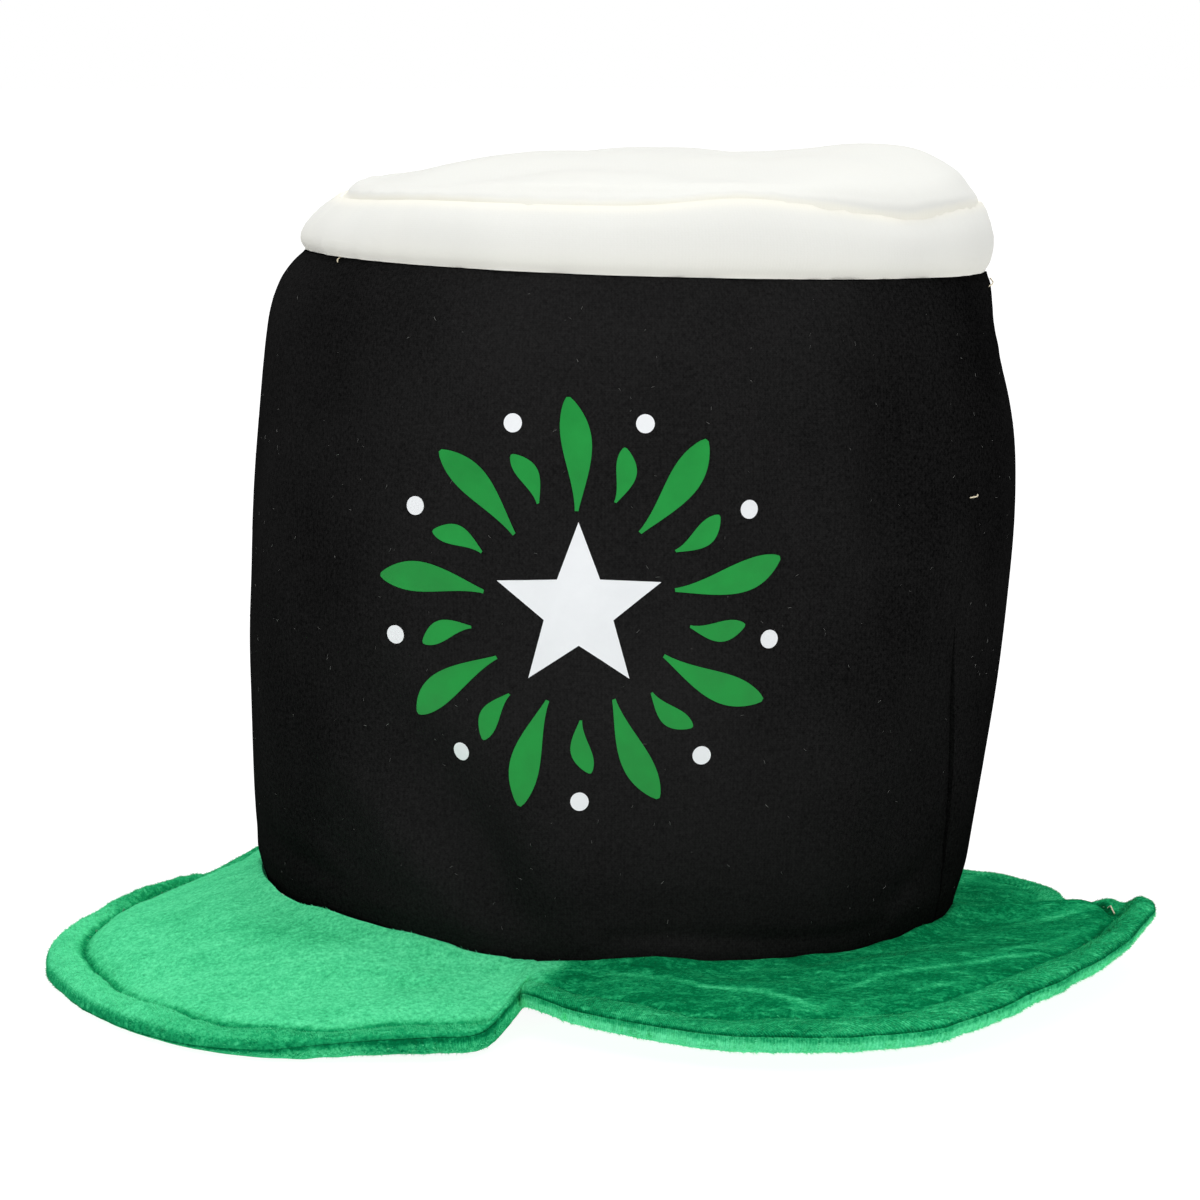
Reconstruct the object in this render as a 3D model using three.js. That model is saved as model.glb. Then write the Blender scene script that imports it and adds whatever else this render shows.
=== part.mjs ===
// Party hat that stands on its brim: two dark wall panels sewn at the sides, a pale froth band with
// a puffed top, and a padded brim of three leaf lobes in two layers. Millimetres, +Z up. The front
// faces -Y. The origin lies on the resting surface, under the middle of the brim.
import * as THREE from "three";
import { mergeVertices } from "three/addons/utils/BufferGeometryUtils.js";

// Cloth
const WALL = 3;
const SEAM_GAP = 0.3;

// Wall of the crown. Its lower and upper edges lie in planes that slope along X.
const BASE_HEIGHT = 18;
const BASE_SLOPE = -0.07;
const BAND_HEIGHT = 208.6;
const BAND_SLOPE = -0.034;
const TOP_HEIGHT = 227.5;
const TOP_SLOPE = -0.02;
const AXIS_X = 2;
const AXIS_Y = -4;

// Brim
const BRIM_THICKNESS = 7.5;
const LOBE_WIDTH = 66;
const NECK_WIDTH = 8;
const LOBE_SHOULDER = 0.62;
const EDGE_ROLL = 6;
const QUILT_INSET = 11;
const QUILT_DEPTH = 1.4;
const QUILT_HALF_WIDTH = 2.6;
const PAD_SWELL = 1.8;

// How far the wall stands out from the axis on each side, at parts of its height
const WALL_SECTIONS = [
  { height: 0.0, right: 104.8, back: 89.0, left: 103.8, front: 88.0 },
  { height: 0.1, right: 108.7, back: 92.5, left: 106.2, front: 91.0 },
  { height: 0.3, right: 114.1, back: 97.5, left: 107.0, front: 95.0 },
  { height: 0.5, right: 118.3, back: 101.5, left: 106.4, front: 97.0 },
  { height: 0.72, right: 120.4, back: 102.5, left: 104.3, front: 97.0 },
  { height: 0.88, right: 116.3, back: 98.0, left: 101.1, front: 94.5 },
  { height: 0.95, right: 113.1, back: 94.5, left: 97.0, front: 92.0 },
  { height: 1.0, right: 111.6, back: 91.5, left: 90.2, front: 90.0 },
];

// The same for the froth band, from its lower edge to the seam with the top
const BAND_SECTIONS = [
  { height: 0.0, right: 111.6, back: 91.5, left: 90.2, front: 90.0 },
  { height: 0.3, right: 112.9, back: 92.8, left: 90.4, front: 91.6 },
  { height: 0.65, right: 112.4, back: 91.5, left: 86.6, front: 90.4 },
  { height: 1.0, right: 109.0, back: 87.0, left: 79.5, front: 86.5 },
];

// Angles of the side seams, in degrees round the axis, at parts of the wall height
const SIDE_SEAMS = [
  { height: 0.0, right: -20, left: 168 },
  { height: 0.25, right: -24, left: 168 },
  { height: 0.5, right: -28, left: 168 },
  { height: 0.68, right: -22, left: 168 },
  { height: 0.82, right: -10, left: 168 },
  { height: 1.0, right: 0, left: 168 },
];

// Soft dents (depth below zero) and swells of the wall, with their spread round and up
const WALL_FOLDS = [
  { angle: 248, height: 0.1, round: 9, up: 0.16, depth: -3.0 },
  { angle: 232, height: 0.07, round: 12, up: 0.1, depth: 2.2 },
  { angle: 283, height: 0.06, round: 20, up: 0.035, depth: -2.2 },
  { angle: 296, height: 0.72, round: 6, up: 0.16, depth: -1.8 },
  { angle: 304, height: 0.7, round: 5, up: 0.14, depth: 1.4 },
  { angle: 205, height: 0.06, round: 9, up: 0.06, depth: -2.0 },
  { angle: 352, height: 0.03, round: 10, up: 0.035, depth: -2.4 },
  { angle: 348, height: 0.88, round: 14, up: 0.06, depth: -1.8 },
  { angle: 40, height: 0.35, round: 26, up: 0.2, depth: -3.0 },
  { angle: 92, height: 0.1, round: 18, up: 0.08, depth: -2.5 },
  { angle: 120, height: 0.62, round: 22, up: 0.2, depth: -2.5 },
];

// Profile of the top piece from its seam to its middle: part of the seam radius, and rise
const TOP_PROFILE = [
  { along: 0.0, radius: 0.985, rise: 0.0 },
  { along: 0.14, radius: 0.988, rise: 3.2 },
  { along: 0.28, radius: 0.93, rise: 6.6 },
  { along: 0.5, radius: 0.72, rise: 9.4 },
  { along: 0.75, radius: 0.4, rise: 10.6 },
  { along: 1.0, radius: 0.0, rise: 11.0 },
];

// Rumples of the top piece, placed from the axis
const TOP_RUMPLES = [
  { x: 84, y: 0, across: 30, along: 50, rise: 7.0 },
  { x: 12, y: 36, across: 40, along: 34, rise: 2.0 },
  { x: 30, y: -48, across: 26, along: 20, rise: -3.0 },
  { x: -30, y: -46, across: 34, along: 18, rise: -2.6 },
  { x: -70, y: 0, across: 32, along: 66, rise: -6.5 },
];

// Notches between the lobes, in degrees round the axis, and how full the lobes are beside them
const NOTCHES = [
  { angle: 5, fullBefore: 6.5, fullAfter: 6.0 },
  { angle: 150, fullBefore: 2.6, fullAfter: 1.7 },
  { angle: 257, fullBefore: 3.0, fullAfter: 1.6 },
];

// The lobes as they lie: width beyond the common one, and height of the underside above the
// resting surface halfway out and at the edge. The brim is flat where this falls below zero.
const BRIM_FORM = [
  { angle: 5, wider: -3, halfway: 2.0, edge: 11.0 },
  { angle: 18, wider: -9, halfway: -1.5, edge: 0.5 },
  { angle: 42, wider: -25, halfway: -2.0, edge: -3.0 },
  { angle: 72, wider: -9, halfway: -0.5, edge: -3.0 },
  { angle: 105, wider: 0, halfway: 1.5, edge: -3.0 },
  { angle: 130, wider: 0, halfway: 4.0, edge: -2.0 },
  { angle: 150, wider: -2, halfway: 8.0, edge: 1.0 },
  { angle: 168, wider: -9, halfway: 8.0, edge: 0.0 },
  { angle: 188, wider: 1, halfway: 8.0, edge: 2.0 },
  { angle: 202, wider: 2, halfway: 6.0, edge: -1.0 },
  { angle: 222, wider: 4, halfway: 3.5, edge: -4.0 },
  { angle: 240, wider: 6, halfway: 2.0, edge: -4.0 },
  { angle: 250, wider: 7, halfway: 1.0, edge: 0.0 },
  { angle: 257, wider: 2, halfway: 0.0, edge: 5.0 },
  { angle: 266, wider: -10, halfway: 3.5, edge: 10.5 },
  { angle: 282, wider: 4, halfway: 5.0, edge: 5.0 },
  { angle: 300, wider: 5, halfway: 6.5, edge: 4.5 },
  { angle: 318, wider: -4, halfway: 7.0, edge: 8.5 },
  { angle: 335, wider: -8, halfway: 6.5, edge: 13.0 },
  { angle: 350, wider: -3, halfway: 5.0, edge: 16.5 },
];

// Rows of facets
const WALL_COLUMNS = 60;
const WALL_ROWS = 11;
const BAND_ROWS = 3;
const TOP_ROWS = 7;
const LOBE_COLUMNS = 24;

const turn = THREE.MathUtils.degToRad;
const blend = THREE.MathUtils.lerp;
const bell = (distance) => Math.exp(-distance * distance);

// A smooth curve through one column of a table. A table of angles goes right round.
function curve(table, by, column, round = 0) {
  const rows = table.map((row) => [row[by], row[column]]);
  if (round) {
    const moved = (row, way) => [row[0] + way * round, row[1]];
    rows.push(moved(rows[0], 1), moved(rows[1], 1));
    rows.unshift(moved(rows[table.length - 2], -1), moved(rows[table.length - 1], -1));
  }
  const last = rows.length - 1;
  const slope = (i) => {
    const before = rows[Math.max(i - 1, 0)];
    const after = rows[Math.min(i + 1, last)];
    return (after[1] - before[1]) / (after[0] - before[0]);
  };
  return (place) => {
    let at = place;
    if (round) at = THREE.MathUtils.euclideanModulo(place - table[0][by], round) + table[0][by];
    let i = 0;
    while (i < last - 1 && at > rows[i + 1][0]) i++;
    const step = rows[i + 1][0] - rows[i][0];
    const t = THREE.MathUtils.clamp((at - rows[i][0]) / step, 0, 1);
    const rest = 1 - t;
    const start = rows[i][1] * (1 + 2 * t) + slope(i) * step * t;
    const end = rows[i + 1][1] * (1 + 2 * rest) - slope(i + 1) * step * rest;
    return start * rest * rest + end * t * t;
  };
}

// Radius of an oval whose reach differs on its four sides
function ovalRadius(angle, reach) {
  const x = Math.cos(turn(angle));
  const y = Math.sin(turn(angle));
  return 1 / Math.hypot(x / (x > 0 ? reach.right : reach.left), y / (y > 0 ? reach.back : reach.front));
}

// The four reaches of a table of sections, as a function of the part of the height
function reaches(sections) {
  const sides = ["right", "back", "left", "front"];
  const curves = sides.map((side) => curve(sections, "height", side));
  return (height) => Object.fromEntries(sides.map((side, i) => [side, curves[i](height)]));
}

// Signed difference of two angles in degrees, from -180 to 180
const apart = (a, b) => THREE.MathUtils.euclideanModulo(a - b + 180, 360) - 180;

// A closed solid between two surfaces, each a function of (u, v) from 0 to 1. A ring closes along u.
function solid(outer, inner, columns, rows, ring) {
  const across = ring ? columns : columns + 1;
  const points = [];
  const faces = [];
  const grid = (surface) => {
    const start = points.length / 3;
    for (let row = 0; row <= rows; row++) {
      for (let column = 0; column < across; column++) {
        points.push(...surface(column / columns, row / rows).toArray());
      }
    }
    return (column, row) => start + row * across + (column % across);
  };
  const front = grid(outer);
  const rear = grid(inner);
  const quad = (a, b, c, d) => faces.push(a, b, c, a, c, d);
  for (let column = 0; column < columns; column++) {
    const next = column + 1;
    for (let row = 0; row < rows; row++) {
      quad(front(column, row), front(next, row), front(next, row + 1), front(column, row + 1));
      quad(rear(column, row), rear(column, row + 1), rear(next, row + 1), rear(next, row));
    }
    quad(rear(column, 0), rear(next, 0), front(next, 0), front(column, 0));
    quad(front(column, rows), front(next, rows), rear(next, rows), rear(column, rows));
  }
  for (let row = 0; row < rows && !ring; row++) {
    quad(front(0, row), front(0, row + 1), rear(0, row + 1), rear(0, row));
    quad(rear(columns, row), rear(columns, row + 1), front(columns, row + 1), front(columns, row));
  }
  const geometry = new THREE.BufferGeometry();
  geometry.setAttribute("position", new THREE.Float32BufferAttribute(points, 3));
  geometry.setIndex(faces);
  return withoutSlivers(mergeVertices(geometry, 1e-3));
}

// Drops the faces that closed up where a row of points met in one
function withoutSlivers(geometry) {
  const old = geometry.getIndex().array;
  const kept = [];
  for (let i = 0; i < old.length; i += 3) {
    const [a, b, c] = [old[i], old[i + 1], old[i + 2]];
    if (a !== b && b !== c && c !== a) kept.push(a, b, c);
  }
  geometry.setIndex(kept);
  geometry.computeVertexNormals();
  return geometry;
}

function piece(name, geometry, colour, roughness) {
  const material = new THREE.MeshStandardMaterial({ color: colour, roughness, metalness: 0 });
  material.name = name;
  const mesh = new THREE.Mesh(geometry, material);
  mesh.name = name;
  return mesh;
}

const baseEdge = (x) => BASE_HEIGHT + BASE_SLOPE * x;
const bandEdge = (x) => BAND_HEIGHT + BAND_SLOPE * x;
const topEdge = (x) => TOP_HEIGHT + TOP_SLOPE * x;

const wallReach = reaches(WALL_SECTIONS);
const bandReach = reaches(BAND_SECTIONS);
const seamRight = curve(SIDE_SEAMS, "height", "right");
const seamLeft = curve(SIDE_SEAMS, "height", "left");

// How far the folds move the wall outwards at an angle and a part of its height
function wallFold(angle, height) {
  return WALL_FOLDS.reduce((sum, fold) => {
    const round = bell(apart(angle, fold.angle) / fold.round);
    return sum + fold.depth * round * bell((height - fold.height) / fold.up);
  }, 0);
}

// A point of the wall, moved inwards by a depth
function wallPoint(angle, height, depth) {
  const radius = ovalRadius(angle, wallReach(height)) + wallFold(angle, height) - depth;
  const x = radius * Math.cos(turn(angle));
  const y = radius * Math.sin(turn(angle));
  return new THREE.Vector3(x, y, blend(baseEdge(x), bandEdge(x) - SEAM_GAP, height));
}

// A point of the froth band, moved inwards by a depth
function bandPoint(angle, height, depth) {
  const radius = ovalRadius(angle, bandReach(height)) - depth;
  const x = radius * Math.cos(turn(angle));
  const y = radius * Math.sin(turn(angle));
  return new THREE.Vector3(x, y, blend(bandEdge(x), topEdge(x) - SEAM_GAP, height));
}

// A panel between the side seams, whose height on the wall is a function of the panel's own. The
// front panel runs from the left seam to the right, the back panel goes on round to the left again.
function panel(point, back, rows, seamHeight) {
  const clear = THREE.MathUtils.radToDeg(SEAM_GAP / 2 / 95);
  const angleAt = (u, height) => {
    const right = seamRight(seamHeight(height));
    const left = seamLeft(seamHeight(height));
    const [start, end] = back ? [right, left] : [left, right + 360];
    return blend(start + clear, end - clear, u);
  };
  const face = (depth) => (u, v) => point(angleAt(u, v), v, depth);
  return solid(face(0), face(WALL), WALL_COLUMNS / 2, rows, false);
}

// The band's side seams carry on straight up from the wall's upper edge.
const wallPanel = (back) => panel(wallPoint, back, WALL_ROWS, (height) => height);
const bandPanel = (back) => panel(bandPoint, back, BAND_ROWS, () => 1);

const profileRadius = curve(TOP_PROFILE, "along", "radius");
const profileRise = curve(TOP_PROFILE, "along", "rise");

// A point of the top piece, from its seam (along = 0) to its middle, moved inwards by a depth
function topPoint(angle, along, depth) {
  const seam = ovalRadius(angle, bandReach(1));
  const inset = depth * (1 - along);
  const radius = Math.max((seam - inset) * profileRadius(along), 0);
  const x = radius * Math.cos(turn(angle));
  const y = radius * Math.sin(turn(angle));
  const settled = THREE.MathUtils.smoothstep(along, 0.05, 0.4);
  const rumple = TOP_RUMPLES.reduce((sum, row) => {
    return sum + row.rise * bell((x - row.x) / row.across) * bell((y - row.y) / row.along);
  }, 0);
  const drop = depth * THREE.MathUtils.smoothstep(along, 0, 0.3);
  return new THREE.Vector3(x, y, topEdge(x) + profileRise(along) + rumple * settled - drop);
}

const lobeWider = curve(BRIM_FORM, "angle", "wider", 360);
const lieHalfway = curve(BRIM_FORM, "angle", "halfway", 360);
const lieEdge = curve(BRIM_FORM, "angle", "edge", 360);

// Angles of the notches in order, with the first again at the end of the turn
const stops = [...NOTCHES.map((notch) => notch.angle), NOTCHES[0].angle + 360];

// Radius of the brim's edge: a rounded lobe that falls to the neck at each notch
function edgeRadius(angle) {
  const turned = THREE.MathUtils.euclideanModulo(angle - stops[0], 360) + stops[0];
  const lobe = stops.findIndex((stop, i) => turned <= stops[i + 1]);
  const aside = (2 * turned - stops[lobe] - stops[lobe + 1]) / (stops[lobe + 1] - stops[lobe]);
  const next = NOTCHES[(lobe + 1) % NOTCHES.length];
  const fullness = aside < 0 ? NOTCHES[lobe].fullAfter : next.fullBefore;
  const lobeWidth = LOBE_WIDTH + lobeWider(angle);
  const width = blend(NECK_WIDTH, lobeWidth, (1 - Math.abs(aside) ** fullness) ** LOBE_SHOULDER);
  return ovalRadius(angle, wallReach(0)) + width;
}

// Rows of points from the brim's edge (0) to its inner edge: distances from the edge first, then
// parts of the way to the wall, then the two faces of the wall
const EDGE_STEPS = [0, 1.2, 3.6, 7.5, QUILT_INSET, 14.5];
const INNER_STEPS = [0.34, 0.7];
const BRIM_ROWS = EDGE_STEPS.length + INNER_STEPS.length + 1;

// A point of the brim as angle, distance from the edge and distance from the wall
function brimPlace(angle, row) {
  const wall = ovalRadius(angle, wallReach(0));
  const width = edgeRadius(angle) - wall;
  const scale = Math.min(1, width / 32);
  const out = (step) => width - step * scale;
  const clear = 1.5;
  const last = EDGE_STEPS.length - 1;
  let away = -WALL;
  if (row <= last) away = out(EDGE_STEPS[row]);
  else if (row < BRIM_ROWS - 1) away = blend(out(EDGE_STEPS[last]), clear, INNER_STEPS[row - last - 1]);
  else if (row === BRIM_ROWS - 1) away = clear;
  return { radius: wall + away, away, inside: (width - away) / scale, scale };
}

// Height of the underside of the padding, flat where the brim rests
function lie(angle, radius, away) {
  const out = Math.max(away, 0) / LOBE_WIDTH;
  const seam = baseEdge(radius * Math.cos(turn(angle))) - SEAM_GAP - BRIM_THICKNESS;
  const halfway = lieHalfway(angle) * 4 * out * (1 - out);
  const height = seam * (1 - out) * (1 - 2 * out) + halfway + lieEdge(angle) * out * (2 * out - 1);
  return Math.max(0, height);
}

// Half thickness at a place, rolled at the edge
function halfThickness(place) {
  const roll = Math.min(place.inside / EDGE_ROLL, 1);
  return (BRIM_THICKNESS / 2) * Math.sqrt(1 - (1 - roll) ** 2 * 0.96);
}

// Relief of the upper layer: drawn in at the quilting, swollen inside it
function padding(place) {
  const quilt = QUILT_DEPTH * place.scale * bell((place.inside - QUILT_INSET) / QUILT_HALF_WIDTH);
  const pad = Math.min(Math.max(place.away - 1.5, 0) / 16, 1) * Math.min(place.inside / 30, 1);
  return PAD_SWELL * pad - quilt;
}

// One layer of the brim. The upper one swells; the lower one is flat where it rests.
function brimLayer(upper) {
  const columns = NOTCHES.length * LOBE_COLUMNS;
  const angleAt = (u) => {
    const lobe = Math.floor(u * NOTCHES.length);
    const across = 2 * (u * NOTCHES.length - lobe) - 1;
    const gathered = Math.sin((Math.PI / 2) * across) * 0.7 + across * 0.3;
    return blend(stops[lobe], stops[lobe + 1], (gathered + 1) / 2);
  };
  const face = (side) => (u, v) => {
    const angle = angleAt(u % 1);
    const place = brimPlace(angle, Math.round(v * BRIM_ROWS));
    const middle = lie(angle, place.radius, place.away) + BRIM_THICKNESS / 2;
    const x = place.radius * Math.cos(turn(angle));
    const y = place.radius * Math.sin(turn(angle));
    return new THREE.Vector3(x, y, middle + side(place));
  };
  const top = face((place) => halfThickness(place) + padding(place));
  const aboveMiddle = face(() => SEAM_GAP / 2);
  const belowMiddle = face(() => -SEAM_GAP / 2);
  const bottom = face((place) => -halfThickness(place));
  if (upper) return solid(top, aboveMiddle, columns, BRIM_ROWS, true);
  return solid(belowMiddle, bottom, columns, BRIM_ROWS, true);
}

const topShape = solid(
  (u, v) => topPoint(360 * u, v, 0),
  (u, v) => topPoint(360 * u, v, WALL),
  WALL_COLUMNS,
  TOP_ROWS,
  true,
);

const crown = new THREE.Group();
crown.name = "crown";
crown.add(piece("crown_front", wallPanel(false), 0x1c1c1e, 0.9));
crown.add(piece("crown_back", wallPanel(true), 0x1b1b1d, 0.9));

const froth = new THREE.Group();
froth.name = "froth";
froth.add(piece("froth_band_front", bandPanel(false), 0xf1efe6, 0.92));
froth.add(piece("froth_band_back", bandPanel(true), 0xf0eee5, 0.92));
froth.add(piece("froth_top", topShape, 0xf4f2ea, 0.92));

const brim = new THREE.Group();
brim.name = "brim";
brim.add(piece("brim_upper", brimLayer(true), 0x21a05c, 0.85));
brim.add(piece("brim_lower", brimLayer(false), 0x1b9452, 0.85));

const hat = new THREE.Group();
hat.name = "party_hat";
hat.position.set(AXIS_X, AXIS_Y, 0);
hat.add(crown, froth, brim);

export default hat;
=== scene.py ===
"""Looks of the party hat: cloth walls, froth, velvet brim, print, stitches and studio, round its frame."""
import math

import bpy
import numpy as np
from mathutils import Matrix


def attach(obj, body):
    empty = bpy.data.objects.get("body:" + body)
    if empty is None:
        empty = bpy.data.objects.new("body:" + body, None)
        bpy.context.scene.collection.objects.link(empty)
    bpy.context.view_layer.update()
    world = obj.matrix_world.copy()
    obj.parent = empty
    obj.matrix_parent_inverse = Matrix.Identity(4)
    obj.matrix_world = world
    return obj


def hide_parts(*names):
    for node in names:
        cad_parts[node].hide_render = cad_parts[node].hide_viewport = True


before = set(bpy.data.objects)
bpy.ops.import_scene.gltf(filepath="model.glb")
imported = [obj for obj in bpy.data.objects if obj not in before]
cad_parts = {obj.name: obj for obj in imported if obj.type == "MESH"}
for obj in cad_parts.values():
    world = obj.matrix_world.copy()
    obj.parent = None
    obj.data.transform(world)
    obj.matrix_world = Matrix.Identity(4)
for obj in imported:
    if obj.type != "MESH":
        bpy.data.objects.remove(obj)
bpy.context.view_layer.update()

# Sizes in millimetres, as in the part
MM = 0.001
AXIS = np.array([2.0, -4.0, 0.0])
WALL = 3.0
SEAM_GAP = 0.3
BASE_HEIGHT = 18.0
BASE_SLOPE = -0.07
BAND_HEIGHT = 208.6
BAND_SLOPE = -0.034
TOP_HEIGHT = 227.5
TOP_SLOPE = -0.02
BRIM_THICKNESS = 7.5
HALF_BRIM = BRIM_THICKNESS / 2
LOBE_WIDTH = 66.0
LOBE_SHOULDER = 0.62
QUILT_INSET = 11.0
CROWN_TALL = 190.0
CROWN_RADIUS = 98.0
PER_DEGREE = math.radians(CROWN_RADIUS)
BAND_TALL = 19.0


def table(columns, *rows):
    """A short table, as named columns of numbers."""
    return {name: np.array(values, float) for name, values in zip(columns.split(), zip(*rows))}


def rows_of(rows):
    """The rows of a table, one by one."""
    for values in zip(*rows.values()):
        yield dict(zip(rows, values))


WALL_SECTIONS = table(
    "height right back left front",
    (0.0, 104.8, 89.0, 103.8, 88.0),
    (0.1, 108.7, 92.5, 106.2, 91.0),
    (0.3, 114.1, 97.5, 107.0, 95.0),
    (0.5, 118.3, 101.5, 106.4, 97.0),
    (0.72, 120.4, 102.5, 104.3, 97.0),
    (0.88, 116.3, 98.0, 101.1, 94.5),
    (0.95, 113.1, 94.5, 97.0, 92.0),
    (1.0, 111.6, 91.5, 90.2, 90.0),
)
BAND_SECTIONS = table(
    "height right back left front",
    (0.0, 111.6, 91.5, 90.2, 90.0),
    (0.3, 112.9, 92.8, 90.4, 91.6),
    (0.65, 112.4, 91.5, 86.6, 90.4),
    (1.0, 109.0, 87.0, 79.5, 86.5),
)
SIDE_SEAMS = table(
    "height right left",
    (0.0, -20, 168),
    (0.25, -24, 168),
    (0.5, -28, 168),
    (0.68, -22, 168),
    (0.82, -10, 168),
    (1.0, 0, 168),
)
# Where the seam of crown and brim sags or is drawn up
BASE_WAVES = table(
    "angle round rise",
    (255, 14, -4.2),
    (334, 16, 5.0),
)
# Waves of the seam of band and top piece, and the angles over which they set in and fade
TOP_WAVES = table(
    "x width rise",
    (36, 20, 2.6),
    (82, 14, -2.6),
    (-80, 20, -2.0),
)
WAVES_SET_IN = (150, 185)
WAVES_FADE = (359, 345)
# Broad dents and swells of the wall
WALL_FOLDS = table(
    "angle height round up depth",
    (248, 0.1, 9, 0.16, -3.0),
    (232, 0.07, 12, 0.1, 2.2),
    (283, 0.06, 20, 0.035, -2.2),
    (299, 0.74, 5, 0.15, -3.4),
    (308, 0.72, 5, 0.15, 2.8),
    (317, 0.7, 5, 0.17, -3.0),
    (205, 0.06, 9, 0.06, -2.0),
    (352, 0.03, 10, 0.035, -2.4),
    (348, 0.88, 14, 0.06, -1.8),
    (40, 0.35, 26, 0.2, -3.0),
    (92, 0.1, 18, 0.08, -2.5),
    (120, 0.62, 22, 0.2, -2.5),
)
# Creases of the wall, each from one place to another: angle, millimetres up, width and depth
WALL_CREASES = table(
    "angle up to_angle to_up width depth",
    (230, 72, 256, 6, 9, -4.4),
    (219, 52, 245, 8, 9, 3.2),
    (246, 70, 268, 14, 11, 2.2),
    (308, 162, 315, 118, 5, -1.2),
    (270, 7, 322, 6, 3, -1.3),
    (262, 12, 300, 13, 4, 0.8),
    (196, 16, 222, 9, 4, -1.0),
    (214, 26, 228, 12, 4, -0.8),
    (322, 10, 336, 24, 4, -0.9),
    (60, 8, 120, 9, 4, -1.2),
    (20, 60, 60, 30, 10, -1.5),
)
# How each seam draws the cloth in: depth and width of the dip, height, reach and seed of its puckers
SEAMS = {
    "wall_right": (0.7, 2.4, 0.08, 8.0, 11),
    "wall_left": (0.7, 2.4, 0.08, 8.0, 17),
    "wall_base": (0.6, 2.5, 0.06, 9.0, 23),
    "wall_top": (0.9, 2.2, 0.1, 7.0, 29),
    "band_base": (1.0, 1.8, 0.12, 6.0, 31),
    "band_top": (0.2, 2.0, 0.15, 7.0, 37),
    "band_right": (1.4, 2.2, 0.2, 6.0, 41),
    "band_left": (1.4, 2.2, 0.2, 6.0, 43),
}
TOP_PROFILE = table(
    "along radius rise",
    (0.0, 0.994, -1.7),
    (0.05, 0.989, 0.7),
    (0.14, 0.968, 2.9),
    (0.28, 0.915, 6.4),
    (0.5, 0.72, 9.4),
    (0.75, 0.4, 10.8),
    (0.9, 0.15, 11.0),
    (1.0, 0.0, 11.0),
)
TOP_RUMPLES = table(
    "x y across along rise",
    (84, 0, 30, 50, 7.0),
    (12, 36, 40, 34, 2.0),
    (30, -48, 26, 20, -3.0),
    (-30, -46, 34, 18, -2.6),
    (-70, 0, 32, 66, -6.5),
)
NOTCHES = table(
    "angle full_before full_after neck",
    (5, 6.5, 6.5, 8),
    (150, 2.6, 2.2, 8),
    (257, 11.0, 1.35, 20),
)
STOPS = np.append(NOTCHES["angle"], NOTCHES["angle"][0] + 360)
BRIM_FORM = table(
    "angle wider halfway edge",
    (5, -3, 2.0, 11.0),
    (18, -10, -1.5, 0.5),
    (42, -25, -2.0, -3.0),
    (72, -9, -0.5, -3.0),
    (105, 0, 1.5, -3.0),
    (130, 0, 4.0, -2.0),
    (150, -2, 7.5, 1.0),
    (168, -6, 4.2, 4.0),
    (188, 1, 6.0, 1.2),
    (202, 2, 5.5, -1.0),
    (222, 6, 3.5, -4.0),
    (233, 4, 2.5, -1.0),
    (243, -7, 2.0, 2.5),
    (250, -10, 1.5, 4.5),
    (254.5, -9, 1.2, 6.0),
    (258, -8, 8.0, 4.0),
    (266, -10, 6.5, 9.0),
    (282, 4, 5.0, 5.0),
    (300, 5, 6.5, 4.5),
    (318, -4, 7.0, 8.5),
    (335, -8, 6.5, 13.0),
    (350, -3, 6.0, 18.5),
    (357, -3, 5.0, 14.5),
)
# The cloth of the brim: where the edge seam sits, how deep the quilting shows, how the pad swells
BRIM_CLOTH = table(
    "angle seam quilt puff",
    (5, 0.0, 0.35, 0.0),
    (28, 0.0, 0.1, 0.0),
    (80, 0.0, 0.6, 0.0),
    (130, -0.6, 0.9, 0.5),
    (172, -1.9, 1.0, 0.3),
    (184, -2.0, 1.0, 0.8),
    (196, -2.0, 1.0, 0.6),
    (212, -2.0, 1.0, 0.5),
    (226, -1.5, 1.0, 0.4),
    (240, 0.6, 1.0, 0.0),
    (250, 1.6, 0.9, 0.0),
    (257, 1.4, 0.4, 0.0),
    (266, 1.2, 0.15, 0.0),
    (290, 1.7, 0.15, 0.0),
    (312, 1.2, 0.2, 0.0),
    (335, 0.4, 0.35, 0.0),
    (350, 0.0, 1.0, 0.0),
    (358, 0.0, 1.0, 0.0),
)
# Soft ridges of the brim, each from one place to another
BRIM_RIDGES = table(
    "x y to_x to_y width rise",
    (98, -26, 148, -18, 9, 5.4),
    (150, -38, 157, -14, 3.5, -2.4),
    (157, -44, 162, -20, 4.5, 1.0),
    (60, -96, 120, -72, 7, 0.9),
    (6, -98, 44, -112, 6, 0.9),
    (30, -100, 62, -104, 5, -0.8),
    (-58, -104, -40, -101, 3, -0.9),
    (-98, 42, -112, 50, 9, 3.4),
    (-149, 8, -128, 36, 4.5, 2.6),
    (20, 100, 70, 112, 9, 1.0),
)
# Marks where the pile is brushed the other way, each from one place to another
CRUSHED = table(
    "x y to_x to_y width light",
    (1, -101, 22, -108, 1.6, 0.26),
    (22, -108, 41, -116, 1.6, 0.34),
    (41, -116, 58, -132, 1.8, 0.34),
    (64, -114, 77, -104, 1.6, 0.26),
    (77, -104, 99, -92, 1.5, 0.26),
    (99, -92, 124, -78, 1.5, 0.28),
    (84, -117, 97, -110, 1.8, 0.24),
    (66, -136, 74, -132, 2.4, 0.24),
    (112, -80, 140, -50, 2.0, 0.18),
    (120, -40, 146, -24, 2.4, 0.20),
    (-106, -56, -72, -80, 9.0, -0.10),
    (-128, -30, -118, -48, 6.0, -0.07),
    (-60, -98, -46, -104, 6.0, -0.06),
    (112, 40, 122, 66, 3.0, 0.20),
    (20, 104, 74, 118, 3.0, 0.22),
    (-60, 96, -20, 120, 3.0, 0.2),
)
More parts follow.
